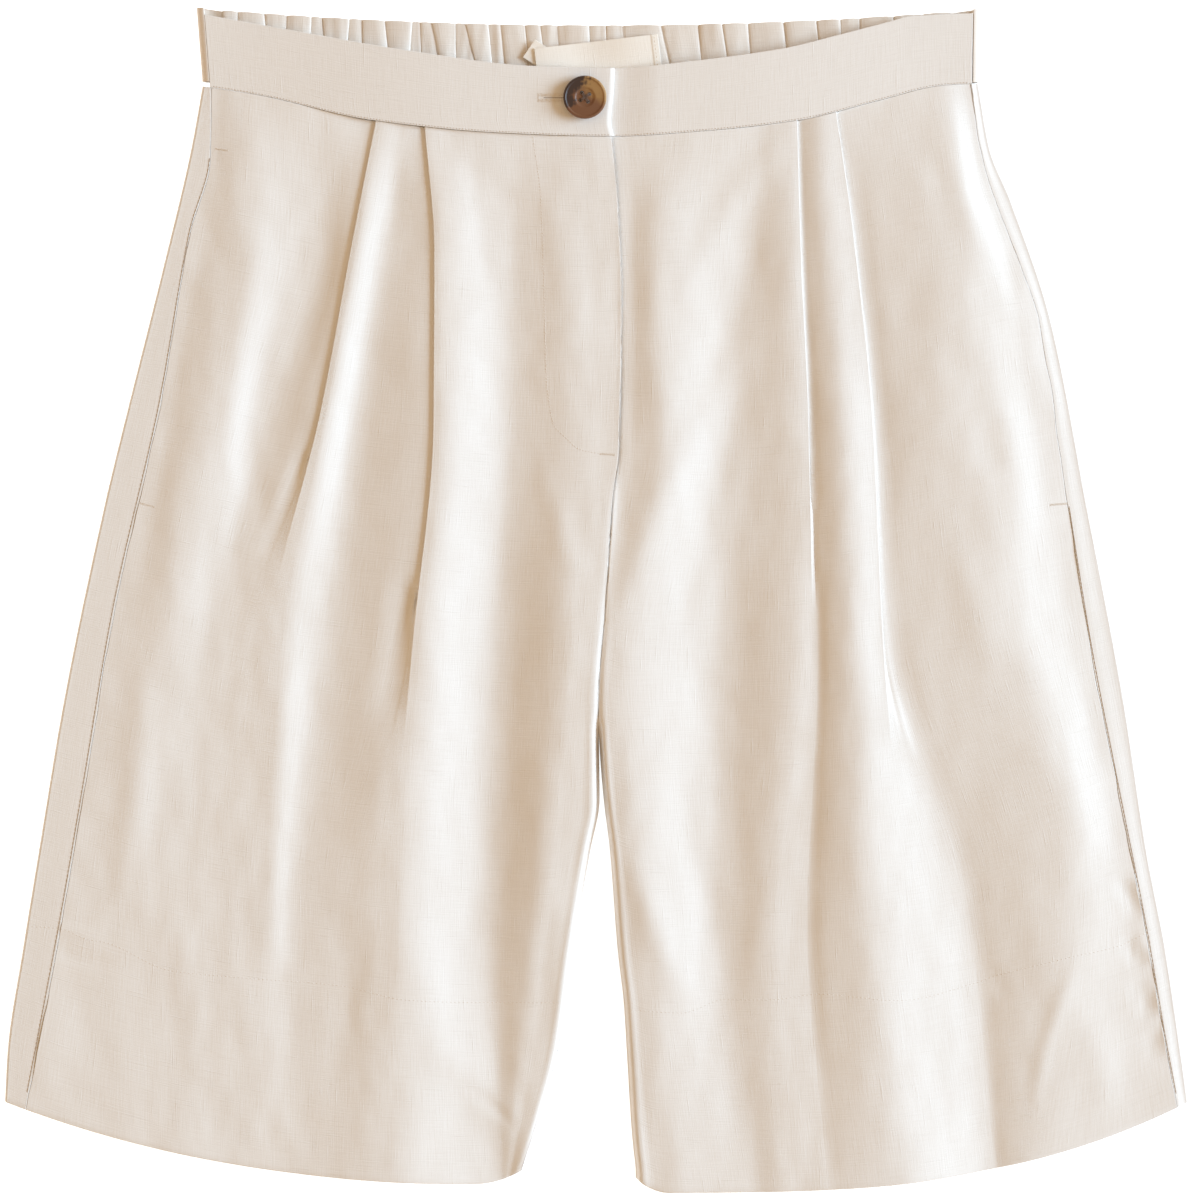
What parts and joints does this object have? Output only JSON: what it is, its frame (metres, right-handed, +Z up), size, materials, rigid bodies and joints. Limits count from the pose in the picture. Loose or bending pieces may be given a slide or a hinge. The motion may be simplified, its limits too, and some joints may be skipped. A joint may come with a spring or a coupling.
{
  "type": "bermuda shorts",
  "caption": "Cream linen bermuda shorts with pleated fronts and a gathered back waistband, buttoned and laid flat.",
  "frame": {"origin": "on the floor, under the middle of the shorts' box", "axes": "+X to the wearer's left, +Y up to the waist, +Z up out of the front, away from the floor"},
  "size_m": [0.5752, 0.5756, 0.0175],
  "materials": {
    "linen": "woven, matt",
    "label_cloth": "woven, matt",
    "horn": "polished tortoiseshell",
    "thread": "satin"
  },
  "bodies": {
    "root": {"front_right": "linen", "front_left": "linen", "back_right": "linen", "back_left": "linen", "waistband_front_right": "linen", "waistband_front_left": "linen", "waistband_back": "linen", "fly_shield": "linen", "pocket_right": "linen", "pocket_left": "linen", "label": "label_cloth", "button": "horn", "button_thread": "thread"}
  },
  "joints": []
}
